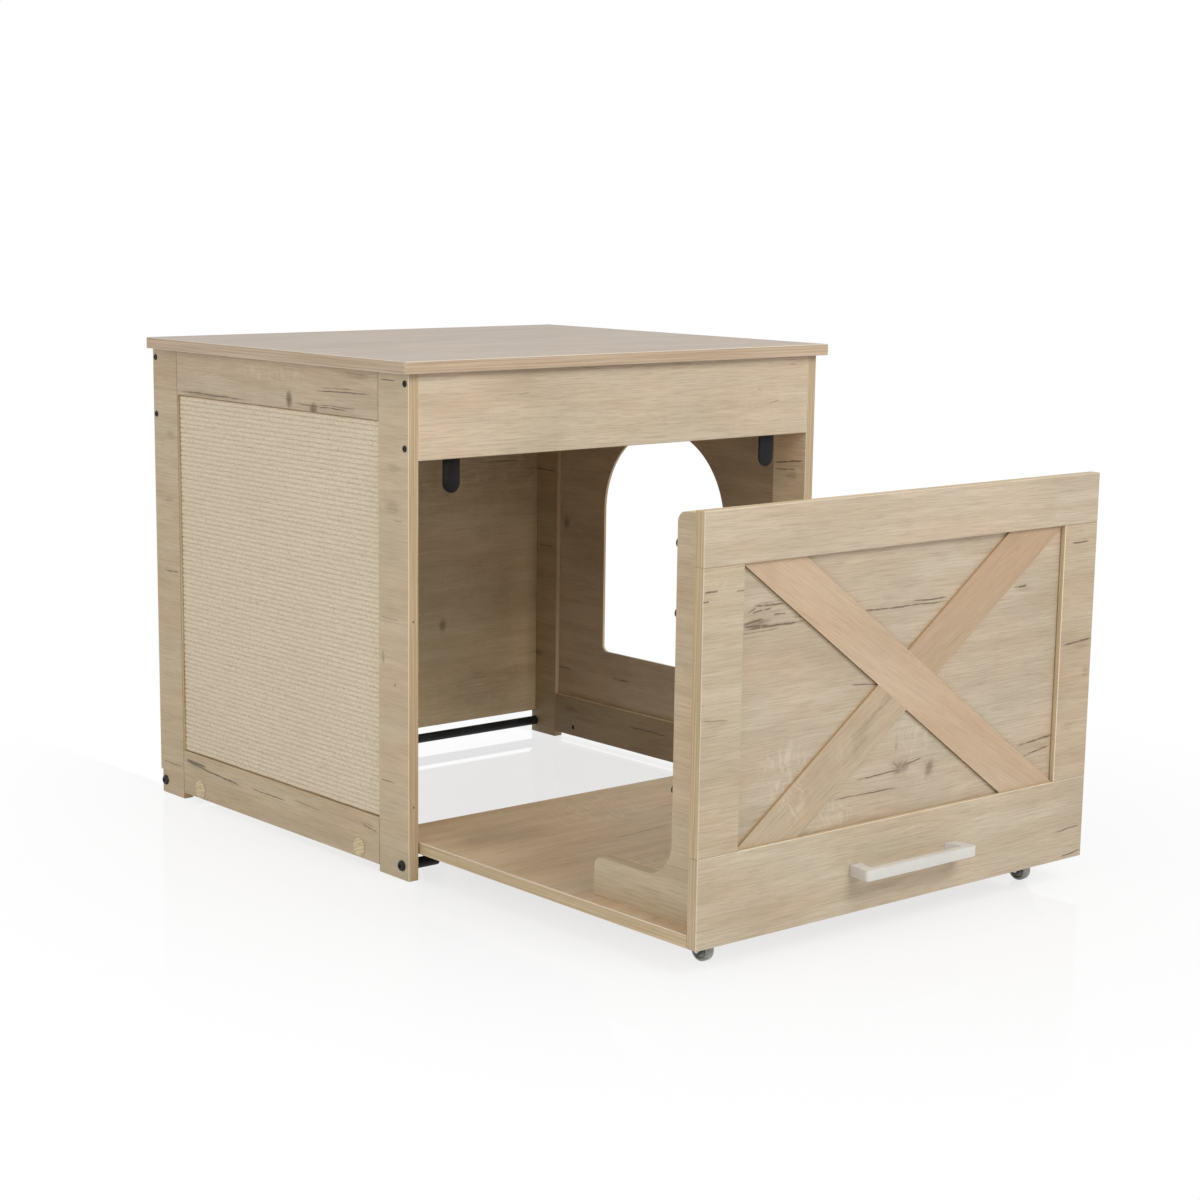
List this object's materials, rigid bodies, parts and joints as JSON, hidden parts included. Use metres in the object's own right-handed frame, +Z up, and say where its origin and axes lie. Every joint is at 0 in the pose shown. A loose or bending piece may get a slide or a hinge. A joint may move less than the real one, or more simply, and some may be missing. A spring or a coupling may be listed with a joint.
{
  "type": "cat house",
  "caption": "Wooden cat house with an arched side doorway, a ribbed scratching pad and a braced litter drawer that rolls out on casters.",
  "frame": {"origin": "on the floor, in the middle of the box round the cabinet and its open drawer", "axes": "+X to the right along the front, +Y from the front to the back, +Z up"},
  "size_m": [0.57, 0.9011, 0.512],
  "materials": {
    "board": "pale oak foil, satin",
    "strip": "plain pale oak foil, satin",
    "sisal": "ribbed woven cord",
    "black_steel": "black lacquer, satin",
    "zinc": "zinc plated",
    "white_metal": "white lacquer, satin",
    "caster_black": "black moulded",
    "caster_grey": "smoky grey moulded",
    "cover": "printed sticker, matte",
    "dowel": "plain beech"
  },
  "bodies": {
    "cabinet": {"top_panel": "board", "front_apron": "board", "back_panel": "board", "left_front_stile": "board", "left_rear_stile": "board", "left_top_rail": "board", "left_bottom_rail": "board", "right_front_stile": "board", "right_rear_stile": "board", "right_top_rail": "board", "right_bottom_rail": "board", "left_inset_panel": "board", "scratch_pad": "sisal", "arch_panel": "board", "back_bar": "black_steel", "front_left_peg": "black_steel", "front_right_peg": "black_steel", "bar_bolts": "black_steel", "case_screws": "black_steel", "case_dowels": "dowel", "hole_covers": "cover", "left_stop_plate": "black_steel", "right_stop_plate": "black_steel", "stop_screws": "black_steel"},
    "drawer": {"drawer_top_rail": "board", "drawer_bottom_rail": "board", "drawer_left_stile": "board", "drawer_right_stile": "board", "drawer_inset_panel": "board", "brace_long": "strip", "brace_upper": "strip", "brace_lower": "strip", "drawer_dowels": "dowel", "tray_board": "board", "left_bracket": "board", "right_bracket": "board", "bracket_bolts": "black_steel", "tray_screws": "zinc", "handle": "white_metal", "handle_screws": "zinc", "caster_screws": "zinc", "front_left_plate": "zinc", "front_right_plate": "zinc", "rear_left_plate": "zinc", "rear_right_plate": "zinc"},
    "front_left_swivel": {"front_left_fork": "caster_black", "front_left_axle": "zinc"},
    "front_left_roller": {"front_left_wheel": "caster_grey"},
    "front_right_swivel": {"front_right_fork": "caster_black", "front_right_axle": "zinc"},
    "front_right_roller": {"front_right_wheel": "caster_grey"},
    "rear_left_swivel": {"rear_left_fork": "caster_black", "rear_left_axle": "zinc"},
    "rear_left_roller": {"rear_left_wheel": "caster_grey"},
    "rear_right_swivel": {"rear_right_fork": "caster_black", "rear_right_axle": "zinc"},
    "rear_right_roller": {"rear_right_wheel": "caster_grey"}
  },
  "joints": [
    {"name": "drawer_slide", "type": "slide", "parent": "cabinet", "child": "drawer", "axis": [0, -1, 0], "range_m": [-0.3997, 0.06]},
    {"name": "front_left_swivel_turn", "type": "hinge", "parent": "drawer", "child": "front_left_swivel", "pos_m": [-0.216, -0.3955, 0.02], "axis": [0, 0, 1], "continuous": true},
    {"name": "front_left_wheel_spin", "type": "hinge", "parent": "front_left_swivel", "child": "front_left_roller", "pos_m": [-0.216, -0.3865, 0.011], "axis": [1, 0, 0], "continuous": true},
    {"name": "front_right_swivel_turn", "type": "hinge", "parent": "drawer", "child": "front_right_swivel", "pos_m": [0.216, -0.3955, 0.02], "axis": [0, 0, 1], "continuous": true},
    {"name": "front_right_wheel_spin", "type": "hinge", "parent": "front_right_swivel", "child": "front_right_roller", "pos_m": [0.216, -0.3865, 0.011], "axis": [1, 0, 0], "continuous": true},
    {"name": "rear_left_swivel_turn", "type": "hinge", "parent": "drawer", "child": "rear_left_swivel", "pos_m": [-0.216, 0.006, 0.02], "axis": [0, 0, 1], "continuous": true},
    {"name": "rear_left_wheel_spin", "type": "hinge", "parent": "rear_left_swivel", "child": "rear_left_roller", "pos_m": [-0.216, 0.015, 0.011], "axis": [1, 0, 0], "continuous": true},
    {"name": "rear_right_swivel_turn", "type": "hinge", "parent": "drawer", "child": "rear_right_swivel", "pos_m": [0.216, 0.006, 0.02], "axis": [0, 0, 1], "continuous": true},
    {"name": "rear_right_wheel_spin", "type": "hinge", "parent": "rear_right_swivel", "child": "rear_right_roller", "pos_m": [0.216, 0.015, 0.011], "axis": [1, 0, 0], "continuous": true}
  ]
}
